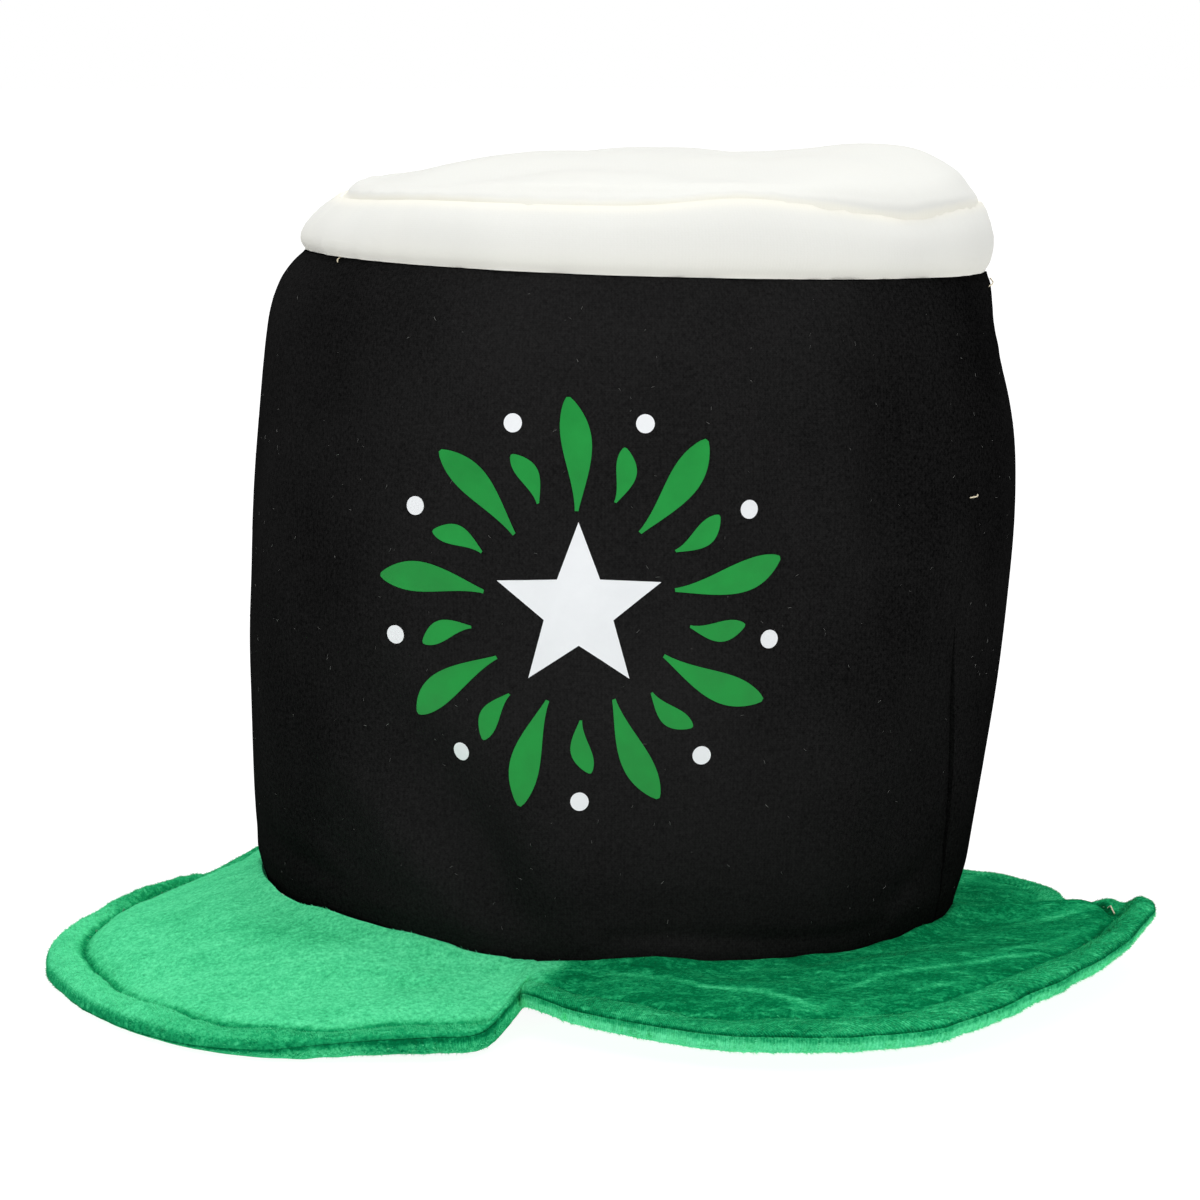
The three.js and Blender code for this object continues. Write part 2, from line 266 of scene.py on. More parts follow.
# Small random unevenness of each cloth: amount and wavelength in millimetres, and a seed
WALL_RIPPLES = ((0.6, 44, 5), (0.12, 17, 6))
BAND_RIPPLES = ((0.3, 30, 44),)
TOP_RIPPLES = ((0.6, 74, 51), (0.12, 26, 52))
TOP_PUCKERS = ((0.14, 13, 53), (0.098, 6, 54))
EDGE_RIPPLES = ((0.3, 30, 75), (0.12, 10, 76))
UPPER_RIPPLES = ((0.4, 42, 65), (0.12, 15, 66))
UPPER_PUCKERS = ((0.26, 13, 61), (0.13, 6, 62))
LOWER_PUCKERS = ((0.25, 11, 67),)
HEM_RIPPLES = ((0.2, 8, 68), (0.14, 3.6, 69))
# Unevenness of the velvet's tone, in shares of the way from dark to light
LOWER_CLOUDS = ((0.05, 26, 73),)
UPPER_STREAKS = (1.0, 7, 71)
UPPER_CLOUDS = (0.7, 16, 72)


def curve(rows, by, column, at, full_turn=0.0):
    """A smooth curve through one column of a table. A table of angles goes right round."""
    x = rows[by]
    y = rows[column]
    if full_turn:
        x = np.concatenate([x[-2:] - full_turn, x, x[:2] + full_turn])
        y = np.concatenate([y[-2:], y, y[:2]])
        at = (at - rows[by][0]) % full_turn + rows[by][0]
    order = np.arange(len(x))
    before = np.maximum(order - 1, 0)
    after = np.minimum(order + 1, len(x) - 1)
    slope = (y[after] - y[before]) / (x[after] - x[before])
    i = np.clip(np.searchsorted(x, at, side="right") - 1, 0, len(x) - 2)
    step = x[i + 1] - x[i]
    t = np.clip((at - x[i]) / step, 0, 1)
    rest = 1 - t
    start = y[i] * (1 + 2 * t) + slope[i] * step * t
    end = y[i + 1] * (1 + 2 * rest) - slope[i + 1] * step * rest
    return start * rest**2 + end * t**2


def bell(distance):
    return np.exp(-(distance**2))


def blend(a, b, t):
    return a + (b - a) * t


def smooth(low, high, value):
    t = np.clip((value - low) / (high - low), 0, 1)
    return t * t * (3 - 2 * t)


def apart(a, b):
    """Signed difference of two angles, from -180 to 180."""
    return (a - b + 180) % 360 - 180


def ripple(points, wavelength, seed, waves=16):
    """A smooth random field with about that wavelength and a spread of 1, the same on every run."""
    points = np.asarray(points, float)
    if points.ndim == 1:
        points = points[:, None]
    draw = np.random.default_rng(seed)
    way = draw.normal(size=(waves, points.shape[1]))
    way /= np.linalg.norm(way, axis=1, keepdims=True)
    size = wavelength * draw.uniform(0.7, 1.5, waves)
    phase = draw.uniform(0, 2 * np.pi, waves)
    return np.sin(points @ (way * (2 * np.pi / size)[:, None]).T + phase).sum(1) / math.sqrt(waves / 2)


def ripples(points, *fields):
    """A sum of random fields, each given as amount, wavelength and seed."""
    return sum(amount * ripple(points, wavelength, seed) for amount, wavelength, seed in fields)


def off_line(x, y, run_x, run_y):
    """Distance from a line that runs that far from zero, and how far along it, from 0 to 1."""
    t = np.clip((x * run_x + y * run_y) / (run_x**2 + run_y**2), 0, 1)
    return np.hypot(x - t * run_x, y - t * run_y), t


def mark(x, y, row, fade):
    """A soft line on the brim between the two places of a row. It fades towards its ends by that share."""
    off, t = off_line(x - row["x"], y - row["y"], row["to_x"] - row["x"], row["to_y"] - row["y"])
    return bell(off / row["width"]) * (1 - fade * (2 * t - 1) ** 2)


def oval(angle, sections, height):
    """Radius of an oval whose reach differs on its four sides."""
    reach = {side: curve(sections, "height", side, height) for side in ("right", "back", "left", "front")}
    x = np.cos(np.radians(angle))
    y = np.sin(np.radians(angle))
    across = np.where(x > 0, reach["right"], reach["left"])
    along = np.where(y > 0, reach["back"], reach["front"])
    return 1 / np.hypot(x / across, y / along)


def polar(angle, radius, height):
    turned = np.radians(angle)
    return np.stack([radius * np.cos(turned), radius * np.sin(turned), height], axis=1)


def base_edge(x, angle):
    """Height of the seam of crown and brim."""
    waves = sum(row["rise"] * bell(apart(angle, row["angle"]) / row["round"]) for row in rows_of(BASE_WAVES))
    return BASE_HEIGHT + BASE_SLOPE * x + waves


def band_edge(x):
    return BAND_HEIGHT + BAND_SLOPE * x


def top_edge(x, angle, hold=1.0):
    """Height of the seam of band and top piece. Its waves fade as the hold is lost."""
    front = smooth(*WAVES_SET_IN, angle % 360) * smooth(*WAVES_FADE, angle % 360)
    waves = sum(row["rise"] * bell((x - row["x"]) / row["width"]) for row in rows_of(TOP_WAVES))
    return TOP_HEIGHT + TOP_SLOPE * x + waves * front * hold


def evened(t, ends):
    """Crowds steps from 0 to 1 towards both ends."""
    return t - ends * np.sin(2 * np.pi * t) / (2 * np.pi)


# Tools that act on one piece

SMOOTH_ANGLE = 60


def take(piece):
    bpy.ops.object.select_all(action="DESELECT")
    piece.select_set(True)
    bpy.context.view_layer.objects.active = piece


def added(operator, **settings):
    """Adds an object with nothing else selected, and returns it."""
    bpy.ops.object.select_all(action="DESELECT")
    operator(**settings)
    return bpy.context.active_object


def shaped(piece, *steps):
    """Runs operators on the whole mesh in edit mode, each with its settings."""
    take(piece)
    bpy.ops.object.mode_set(mode="EDIT")
    bpy.ops.mesh.select_all(action="SELECT")
    for operator, settings in steps:
        operator(**settings)
    bpy.ops.object.mode_set(mode="OBJECT")


def face_outwards(piece, *steps):
    """Turns all faces outwards, after any other steps."""
    shaped(piece, *steps, (bpy.ops.mesh.normals_make_consistent, {"inside": False}))


def close(piece):
    """Joins the edges that meet."""
    face_outwards(piece, (bpy.ops.mesh.remove_doubles, {"threshold": 2e-6}))


def thicken(piece, thickness, side):
    """Gives a sheet its thickness in millimetres, inwards for -1 and outwards for 1."""
    take(piece)
    modifier = piece.modifiers.new("Solidify", "SOLIDIFY")
    modifier.thickness = thickness * MM
    modifier.offset = side
    bpy.ops.object.modifier_apply(modifier=modifier.name)


def places(piece):
    points = np.empty(len(piece.data.vertices) * 3)
    piece.data.vertices.foreach_get("co", points)
    return points.reshape(-1, 3)


def move(piece, points):
    piece.data.vertices.foreach_set("co", points.astype(np.float32).ravel())
    piece.data.update()


def paint(piece, name, values):
    """Keeps a number at each point, for the material to read."""
    layer = piece.data.attributes.new(name, "FLOAT", "POINT")
    layer.data.foreach_set("value", np.asarray(values, np.float32))


def call(piece, name):
    piece.name = name
    piece.data.name = name


def grid(name, columns, rows, surface):
    """A grid primitive moved onto surface(u, v), which gives places, cloth coordinates in mm, and paints."""
    piece = added(bpy.ops.mesh.primitive_grid_add, x_subdivisions=columns, y_subdivisions=rows, size=2)
    call(piece, name)
    across = (places(piece) + 1) / 2
    points, cloth, paints = surface(across[:, 0], across[:, 1])
    move(piece, (points + AXIS) * MM)
    corners = np.empty(len(piece.data.loops), np.int32)
    piece.data.loops.foreach_get("vertex_index", corners)
    layer = piece.data.uv_layers.active
    layer.name = "cloth"
    layer.data.foreach_set("uv", cloth[corners].astype(np.float32).ravel())
    for key, values in paints.items():
        paint(piece, key, values)
    return piece


def wear(piece, finish, replaces=(), angle=SMOOTH_ANGLE):
    """Gives a piece its material, its smooth shading and its place in the part."""
    take(piece)
    piece.data.materials.clear()
    for each in finish if isinstance(finish, list) else [finish]:
        piece.data.materials.append(each)
    bpy.ops.object.shade_smooth_by_angle(angle=math.radians(angle))
    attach(piece, "root")
    if replaces:
        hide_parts(*replaces)


# Materials

WHITE = (1.0, 1.0, 1.0)


class Value:
    """A number on its way through the nodes: sums and products of it add Math nodes."""

    def __init__(self, nodes, socket):
        self.nodes = nodes
        self.socket = socket

    def math(self, operation, a, b=0.0):
        return self.nodes.node("Math", {"operation": operation}, {0: a, 1: b})

    def __add__(self, other):
        return self.math("ADD", self, other)

    def __radd__(self, other):
        return self.math("ADD", other, self)

    def __sub__(self, other):
        return self.math("SUBTRACT", self, other)

    def __rsub__(self, other):
        return self.math("SUBTRACT", other, self)

    def __mul__(self, other):
        return self.math("MULTIPLY", self, other)

    def __rmul__(self, other):
        return self.math("MULTIPLY", other, self)

    def __truediv__(self, other):
        return self.math("DIVIDE", self, other)

    def __rtruediv__(self, other):
        return self.math("DIVIDE", other, self)

    def sine(self):
        return self.math("SINE", self)

    def absolute(self):
        return self.math("ABSOLUTE", self)


class Nodes:
    """The nodes of a material or of the sky."""

    def __init__(self, tree):
        self.tree = tree

    def node(self, kind, settings=None, inputs=None, output=0):
        """Adds a node: its settings first, then values or links for its sockets."""
        made = self.tree.nodes.new("ShaderNode" + kind)
        for key, value in (settings or {}).items():
            if key == "stops":
                ramp = made.color_ramp
                while len(ramp.elements) < len(value):
                    ramp.elements.new(1.0)
                for element, (position, colour) in zip(ramp.elements, value):
                    element.position = position
                    element.color = (*colour, 1.0)
            else:
                setattr(made, key, value)
        for key, value in (inputs or {}).items():
            if isinstance(value, Value):
                self.tree.links.new(value.socket, made.inputs[key])
            else:
                made.inputs[key].default_value = value
        return Value(self, made.outputs[output])

    def spot(self):
        return self.node("TexCoord", output="Object")

    def attribute(self, name):
        return self.node("Attribute", {"attribute_name": name}, output="Fac")

    def part(self, vector, axis):
        return self.node("SeparateXYZ", {}, {0: vector}, axis)

    def noise(self, size, detail=3.0, roughness=0.55, stretch=(1, 1, 1), turned=(0, 0, 0)):
        """Noise whose main grain is that many millimetres, stretched along the axes if wanted."""
        where = self.spot()
        if stretch != (1, 1, 1) or turned != (0, 0, 0):
            where = self.node("Mapping", {}, {"Vector": where, "Rotation": turned, "Scale": stretch})
        inputs = {"Vector": where, "Scale": 1 / (size * MM), "Detail": detail, "Roughness": roughness}
        return self.node("TexNoise", {}, inputs)

    def ramp(self, factor, *stops):
        return self.node("ValToRGB", {"stops": stops}, {"Fac": factor})

    def mix(self, factor, a, b):
        """A colour between two others, by a Mix node whose colour sockets are numbers 6 and 7."""
        inputs = {0: factor}
        for key, value in ((6, a), (7, b)):
            inputs[key] = value if isinstance(value, Value) else (*value, 1.0)
        return self.node("Mix", {"data_type": "RGBA"}, inputs, 2)

    def clamp(self, value):
        return self.node("Clamp", {}, {"Value": value, "Min": 0.0, "Max": 1.0})

    def cloth(self):
        """Millimetres along and across the cloth."""
        uv = self.node("UVMap", {"uv_map": "cloth"})
        return self.part(uv, 0), self.part(uv, 1)

    def bump(self, height, depth, strength):
        """A normal from a height, whose full depth is in millimetres."""
        inputs = {"Height": height, "Distance": depth * MM, "Strength": strength}
        return self.node("Bump", {}, inputs, "Normal")


class Finish(Nodes):
    """One material: its nodes, and the principled shader that they feed by the names of its sockets."""

    def __init__(self, name, **constants):
        self.material = bpy.data.materials.new(name)
        self.material.use_nodes = True
        super().__init__(self.material.node_tree)
        self.shader = self.tree.nodes["Principled BSDF"]
        for key, value in constants.items():
            self.shader.inputs[key.replace("_", " ")].default_value = value

    def feed(self, **links):
        for key, value in links.items():
            self.tree.links.new(value.socket, self.shader.inputs[key.replace("_", " ")])
        return self.material


def knit_height(along, across, wale, course):
    """Height of a fine knit: columns of loops, each leaning one way and then the other."""
    lean = (across * (2 * math.pi / course)).sine() * (wale * 0.16)
    ribs = ((along + lean) * (2 * math.pi / wale)).sine()
    loops = (across * (4 * math.pi / course)).sine()
    return ribs * 0.6 + loops * 0.4


def black_knit():
    finish = Finish("black_knit", Roughness=0.9, Sheen_Weight=0.0, Specular_IOR_Level=0.0)
    knit = knit_height(*finish.cloth(), wale=0.95, course=1.1)
    cloudy = finish.noise(60, 2)
    grain = finish.noise(0.9, 2, 0.7)
    # The painted attribute brings painted light and shade: lighter high on the front, darker on the sides
    tone = cloudy * 0.24 + grain * 0.46 + knit * 0.03 + finish.attribute("nap") + 0.14
    colour = finish.ramp(tone, (0.25, (0.0016, 0.0016, 0.0017)), (0.68, (0.0205, 0.0202, 0.0202)))
    rough = finish.clamp(grain * 0.2 + 0.76)
    height = knit * 0.2 + grain * 0.6
    return finish.feed(Base_Color=colour, Roughness=rough, Normal=finish.bump(height, 0.16, 0.55))


def white_knit():
    finish = Finish(
        "white_knit", Roughness=0.9, Sheen_Weight=0.1, Sheen_Roughness=0.6, Specular_IOR_Level=0.2
    )
    knit = knit_height(*finish.cloth(), wale=1.0, course=1.2) * 0.5
    seam = finish.attribute("seam")
    cloudy = finish.noise(40, 3)
    grain = finish.noise(1.0, 2, 0.7)
    cloth = finish.mix(finish.clamp((cloudy - 0.5) * 0.6), (0.775, 0.78, 0.745), (0.79, 0.77, 0.69))
    shaded = finish.mix(finish.clamp(grain * 0.35 - knit * 0.03), cloth, (0.72, 0.715, 0.67))
    warm = finish.mix(finish.clamp(seam * 0.8), shaded, (0.92, 0.90, 0.80))
    height = knit * 0.2 + grain * 0.5
    return finish.feed(Base_Color=warm, Normal=finish.bump(height, 0.13, 0.4))


def green_velvet():
    finish = Finish(
        "green_velvet", Roughness=0.85, Sheen_Weight=0.05, Sheen_Roughness=0.4,
        Sheen_Tint=(0.12, 1.0, 0.5, 1.0), Specular_IOR_Level=0.0,
    )
    along, across = finish.cloth()
    nap = finish.attribute("nap")
    rim = finish.attribute("rim")
    crush = finish.noise(15, 3, 0.6)
    tuft = finish.noise(3.0, 3, 0.65)
    grain = finish.noise(1.1, 3, 0.75)
    wale = ((along * 0.62 + across * 0.78) * (2 * math.pi / 1.3)).sine() * rim
    # Painted glints: light flecks, strongest where the pile shows dark
    fleck = finish.noise(2.2, 2, 0.6, (0.45, 1.0, 1.0), (0.0, 0.0, 0.6))
    painted_glints = finish.clamp(fleck - 0.52) * finish.clamp(1.0 - nap) * 1.6
    mottled = (crush - 0.5) * 0.12 + (tuft - 0.5) * 0.28 + (grain - 0.5) * 0.82
    # Colour from the tone with its painted sheen and shade, mottling, wale rows and painted glints
    colour = finish.ramp(
        finish.clamp(nap + mottled + wale * 0.08 + painted_glints),
        (0.0, (0.001, 0.075, 0.024)),
        (0.3, (0.001, 0.165, 0.055)),
        (0.55, (0.014, 0.37, 0.135)),
        (0.8, (0.078, 0.67, 0.295)),
        (1.0, (0.15, 0.86, 0.42)),
    )
    rough = finish.clamp(grain * 0.3 + 0.6)
    height = grain * 0.9 + tuft * 0.6 + wale * 0.35
    return finish.feed(Base_Color=colour, Roughness=rough, Normal=finish.bump(height, 0.35, 0.6))


def film(name, colour, dark):
    """Pressed-on glossy film with small wrinkles and a worn patch or two."""
    finish = Finish(name, Roughness=0.4, Specular_IOR_Level=0.2)
    worn = finish.noise(14, 4, 0.6)
    weave = finish.noise(1.1, 2, 0.6)
    tint = finish.mix(finish.clamp(worn * 1.6 - 0.5), dark, colour)
    rough = finish.clamp(worn * 0.7 + 0.08)
    height = weave * 0.6 + worn * 0.4
    return finish.feed(Base_Color=tint, Roughness=rough, Normal=finish.bump(height, 0.12, 0.5))


def thread(name, colour):
    """Twisted sewing thread."""
    finish = Finish(name, Roughness=0.7, Sheen_Weight=0.2)
    twist = finish.noise(0.6, 1, 0.5, (3, 1, 1))
    fuzz = finish.noise(0.5, 2)
    pale = tuple(min(1.0, 1.5 * c + 0.02) for c in colour)
    tint = finish.mix(finish.clamp(twist * 0.3 + fuzz * 0.5), colour, pale)
    return finish.feed(Base_Color=tint, Normal=finish.bump(twist, 0.05, 0.6))


# Crown

PANEL_GRID = (160, 110)
SEAM_CROWDING = 0.7
BASE_TUCK = 1.6
TUCK_REACH = 5.0
CREASE_FADE = 0.5
HANGING = 0.3
# Angle of the front, round which the knit's painted light and shade are centred
KNIT_FRONT = 268.0


def side_seams(height):
    return curve(SIDE_SEAMS, "height", "right", height), curve(SIDE_SEAMS, "height", "left", height)


def seam_dip(name, distance, along):
    """Cloth drawn in at a seam, with small puckers that fade away from it."""
    depth, width, pucker, reach, seed = SEAMS[name]
    fold = ripples(along, (1.0, 9.0, seed), (0.6, 4.5, seed + 1))
    return -depth * bell(distance / width) + pucker * fold * np.exp(-np.abs(distance) / reach)


def seamed(cloth, angle, at, up, tall):
    """Cloth drawn in at the four seams of a panel, whose side seams are taken at that height."""
    right, left = side_seams(at)
    along = angle * PER_DEGREE
    out = seam_dip(cloth + "_base", up, along)
    out += seam_dip(cloth + "_top", tall - up, along)
    out += seam_dip(cloth + "_right", apart(angle, right) * PER_DEGREE, up)
    return out + seam_dip(cloth + "_left", apart(angle, left) * PER_DEGREE, up)


def wall_relief(angle, height):
    """How far the wall stands out from its plain oval, in mm."""
    up = height * CROWN_TALL
    along = angle * PER_DEGREE
    out = seamed("wall", angle, height, up, CROWN_TALL) + 0.8 * bell((up - 7) / 5)
    for fold in rows_of(WALL_FOLDS):
        beside = bell(apart(angle, fold["angle"]) / fold["round"])
        out += fold["depth"] * beside * bell((height - fold["height"]) / fold["up"])
    for crease in rows_of(WALL_CREASES):
        run = apart(crease["to_angle"], crease["angle"]) * PER_DEGREE
        rise = crease["to_up"] - crease["up"]
        off, t = off_line(apart(angle, crease["angle"]) * PER_DEGREE, up - crease["up"], run, rise)
        out += crease["depth"] * bell(off / crease["width"]) * (1 - CREASE_FADE * (2 * t - 1) ** 2)
    return out + ripples(np.stack([along, HANGING * up], axis=1), *WALL_RIPPLES)


def wall_place(angle, height, out=0.0):
    """Places that far out from the wall, whose base is tucked into the brim's seam."""
    radius = oval(angle, WALL_SECTIONS, height) + wall_relief(angle, height) + out
    x = radius * np.cos(np.radians(angle))
    tucked = BASE_TUCK * (1 - smooth(0, TUCK_REACH, height * CROWN_TALL))
    return polar(angle, radius, blend(base_edge(x, angle) - tucked, band_edge(x) - SEAM_GAP, height))


def panel_angles(u, height, back):
    right, left = side_seams(height)
    clear = math.degrees(SEAM_GAP / 2 / CROWN_RADIUS)
    start, end = (right, left) if back else (left, right + 360)
    return blend(start + clear, end - clear, u)


def knit_painted_light(angle, height):
    """Painted light and shade on the knit: lighter high on the front, darker on the sides, less dark again
    towards the back.
    """
    aside = apart(angle, KNIT_FRONT)
    painted_front_light = bell((aside + 16) / 20) * smooth(0.4, 0.85, height)
    # Painted shade on the sides
    flat = 0.1 * smooth(22, 58, np.abs(aside)) + 0.04 * smooth(56, 76, aside)
    back = smooth(92, 140, np.abs(aside))
    return 0.03 * painted_front_light - flat * (1 - 0.7 * back)


def crown_panel(name, back, finish):
    def surface(u, v):
        height = evened(v, SEAM_CROWDING)
        angle = panel_angles(evened(u, SEAM_CROWDING), height, back)
        cloth = np.stack([angle * PER_DEGREE, height * CROWN_TALL], axis=1)
        # Each point carries the knit's painted light and shade
        return wall_place(angle, height), cloth, {"nap": knit_painted_light(angle, height)}

    piece = grid(name, *PANEL_GRID, surface)
    thicken(piece, WALL, -1.0)
    wear(piece, finish, ["crown_back" if back else "crown_front"])


# Froth

BAND_GRID = (180, 32)
BAND_CROWDING = 0.6
TOP_GRID = (240, 60)
TOP_CROWDING = 1.15
PUCKER_REACH = 11.0


def froth_band(name, back, finish):
    def surface(u, v):
        height = evened(v, BAND_CROWDING)
        top = np.ones_like(u)
        angle = panel_angles(evened(u, SEAM_CROWDING), top, back)
        up = height * BAND_TALL
        cloth = np.stack([angle * PER_DEGREE, up], axis=1)
        out = seamed("band", angle, top, up, BAND_TALL) + ripples(cloth, *BAND_RIPPLES)
        radius = oval(angle, BAND_SECTIONS, height) + out
        x = radius * np.cos(np.radians(angle))
        points = polar(angle, radius, blend(band_edge(x), top_edge(x, angle) - SEAM_GAP, height))
        return points, cloth, {"seam": np.maximum(0.55 * bell(up / 6), bell((BAND_TALL - up) / 1.8))}

    piece = grid(name, *BAND_GRID, surface)
    thicken(piece, WALL, -1.0)
    wear(piece, finish, ["froth_band_back" if back else "froth_band_front"])


def froth_top(name, finish):
    """The top piece: it hangs over its seam at the front right, and is drawn in at the left."""
    def surface(u, v):
        angle = 360 * u
        along = np.clip(v**TOP_CROWDING, 0, 1)
        seam = oval(angle, BAND_SECTIONS, np.ones_like(u))
        over = 3.6 * bell(apart(angle, 328) / 22) * bell((along - 0.16) / 0.14)
        drawn_in = 2.0 * bell(apart(angle, 180) / 20) * bell((along - 0.06) / 0.16)
        over -= drawn_in * smooth(0.0, 0.045, along)
        radius = np.maximum(seam * curve(TOP_PROFILE, "along", "radius", along) + over, 0)
        x = radius * np.cos(np.radians(angle))
        y = radius * np.sin(np.radians(angle))
        flat = np.stack([x, y], axis=1)
        rumple = ripples(flat, *TOP_RIPPLES)
        for row in rows_of(TOP_RUMPLES):
            beside = bell((x - row["x"]) / row["across"])
            rumple += row["rise"] * beside * bell((y - row["y"]) / row["along"])
        pucker = ripples(angle * PER_DEGREE, *TOP_PUCKERS) * np.exp((radius - seam) / PUCKER_REACH)
        height = top_edge(x, angle, smooth(0.5, 0.0, along)) + curve(TOP_PROFILE, "along", "rise", along)
        height += rumple * smooth(0.05, 0.4, along)
        height += pucker * smooth(0.0, 0.1, along) * (1 - along)
        return np.stack([x, y, height], axis=1), flat, {"seam": 1 - smooth(0.01, 0.09, along)}

    piece = grid(name, *TOP_GRID, surface)
    close(piece)
    thicken(piece, WALL, -1.0)
    wear(piece, finish, ["froth_top"])


# Brim

ROLL = 5.4
ROLL_RISE = 3.6
ROLL_FALL = 1.6
GROOVE = 0.5
PAD_REACH = 3.0
PAD_PUFF = 1.6
SOFTNESS = 0.3
LAYER_GAP = 0.04
INNER_GAP = 0.03
TURNED_IN = 1.2
FULL_PROFILE = 32.0
NARROW_RISE = 0.7
QUILT_REACH = 5.0
RIDGE_FADE = 0.4
HEM_BULGE = 1.375
HEM_INSET = 1.3
# How wavy the edge is on the back, left and right lobes
EDGE_WAVINESS = np.array([1.0, 0.4, 1.0])
NOTCH_CROWDING = 0.7
BRIM_COLUMNS = 640
INNER_ROWS = 40
OUTER_ROWS = 30
OUTER_BAND = 16.0
OUTER_CROWDING = 1.8
UNDER_ROWS = 4


def brim_form(column, angle):
    return curve(BRIM_FORM, "angle", column, angle, 360.0)


def brim_cloth(column, angle):
    return curve(BRIM_CLOTH, "angle", column, angle, 360.0)


def quilt_depth(angle):
    return np.clip(brim_cloth("quilt", angle), 0, 1)


def wall_foot(angle):
    return oval(angle, WALL_SECTIONS, np.zeros_like(angle))


def brim_width(angle):
    """How far the brim's edge lies from the wall: a rounded lobe that falls to the neck at each notch."""
    turned = (angle - STOPS[0]) % 360 + STOPS[0]
    lobe = np.clip(np.searchsorted(STOPS, turned, side="right") - 1, 0, 2)
    after = (lobe + 1) % 3
    aside = (2 * turned - STOPS[lobe] - STOPS[lobe + 1]) / (STOPS[lobe + 1] - STOPS[lobe])
    full = np.where(aside < 0, NOTCHES["full_after"][lobe], NOTCHES["full_before"][after])
    neck = np.where(aside < 0, NOTCHES["neck"][lobe], NOTCHES["neck"][after])
    round_off = np.maximum(1 - np.abs(aside) ** full, 0) ** LOBE_SHOULDER
    run = turned * math.radians(CROWN_RADIUS + LOBE_WIDTH)
    uneven = ripples(run, *EDGE_RIPPLES) * EDGE_WAVINESS[lobe]
    return blend(neck, LOBE_WIDTH + brim_form("wider", angle) + uneven, round_off)


def narrowed(width):
    """How much of the full profile fits where the brim is narrow."""
    return np.minimum(1, width / FULL_PROFILE)


def brim_angles(u):
    """Steps round the brim, crowded towards the notches."""
    lobe = np.minimum(np.floor(u * 3), 2).astype(int)
    across = 2 * (u * 3 - lobe) - 1
    gathered = blend(across, np.sin(np.pi / 2 * across), NOTCH_CROWDING)
    return blend(STOPS[lobe], STOPS[lobe + 1], (gathered + 1) / 2)


def brim_lie(angle, radius, away):
    """Height of the underside of the brim above the resting surface, before it is flattened there."""
    out = np.maximum(away, 0) / LOBE_WIDTH
    seam = base_edge(radius * np.cos(np.radians(angle)), angle) - SEAM_GAP - BRIM_THICKNESS
    halfway = brim_form("halfway", angle) * 4 * out * (1 - out)
    return seam * (1 - out) * (1 - 2 * out) + halfway + brim_form("edge", angle) * out * (2 * out - 1)


def brim_profile(inside, swell, deep, seam):
    """Height of a layer over the middle of the brim: the roll at the edge, the quilting, the pad within."""
    near = np.sqrt(np.maximum(1 - (1 - np.clip(inside / ROLL, 0, 1)) ** 2, 0))
    past = (inside - ROLL) / (QUILT_INSET + GROOVE - ROLL)
    falling = ROLL_RISE * np.sqrt(np.maximum(1 - past**2, 0))
    roll = np.where(inside < ROLL, seam + (ROLL_RISE - seam) * near, falling)
    filled = 1 - np.exp(-np.maximum(inside - QUILT_INSET, 0) / PAD_REACH)
    pad = GROOVE + (HALF_BRIM + swell - GROOVE) * filled
    pad = np.where(inside > QUILT_INSET, pad, GROOVE - (QUILT_INSET - inside) * ROLL_FALL)
    quilted = np.log(np.exp(roll / SOFTNESS) + np.exp(pad / SOFTNESS)) * SOFTNESS
    plain = seam + (HALF_BRIM - seam) * near + swell - 0.7 * bell((inside - QUILT_INSET) / 2.0)
    return blend(plain, quilted, deep)


def brim_place(angle, away, upper):
    """Places on the outer face of a layer, how far inside the edge they are, and the run along the edge."""
    wall = wall_foot(angle)
    width = brim_width(angle)
    scale = narrowed(width)
    inside = (width - away) / scale
    radius = wall + away
    run = (wall + width) * np.radians(angle)
    middle = np.maximum(brim_lie(angle, radius, away), 0) + HALF_BRIM
    deep = quilt_depth(angle)
    seam = brim_cloth("seam", angle)
    within = smooth(0, 6, inside)
    gathered = within * np.exp(-np.abs(inside - QUILT_INSET) / QUILT_REACH) * blend(0.3, 1.0, deep)
    fit = blend(NARROW_RISE, 1.0, scale)
    if upper:
        flat = polar(angle, radius, np.zeros_like(angle))[:, :2]
        puff = PAD_PUFF + brim_cloth("puff", angle)
        swell = puff * np.clip(away / 16, 0, 1) * smooth(6, 26, inside)
        rise = brim_profile(inside, swell, deep, seam) + gathered * ripples(run, *UPPER_PUCKERS)
        rise += within * ripples(flat, *UPPER_RIPPLES)
        for row in rows_of(BRIM_RIDGES):
            rise += within * row["rise"] * mark(flat[:, 0] + AXIS[0], flat[:, 1] + AXIS[1], row, RIDGE_FADE)
        at_wall = 1.5 * bell((away - 1.0) / 4.0) - 3.4 * smooth(0.7, -0.4, away)
        height = middle + np.maximum(rise * fit + at_wall, seam + LAYER_GAP)
        bulge = 0.0
    else:
        rise = brim_profile(inside, 0.0, deep, -seam) + gathered * ripples(run, *LOWER_PUCKERS)
        height = np.maximum(middle - np.maximum(rise * fit, LAYER_GAP - seam), 0.0)
        hem = HEM_BULGE * np.maximum(seam, 0) * bell((inside - HEM_INSET) / HEM_INSET) * scale
        bulge = hem * (1 + ripples(run, *HEM_RIPPLES))
    return polar(angle, radius + bulge, height), inside, run


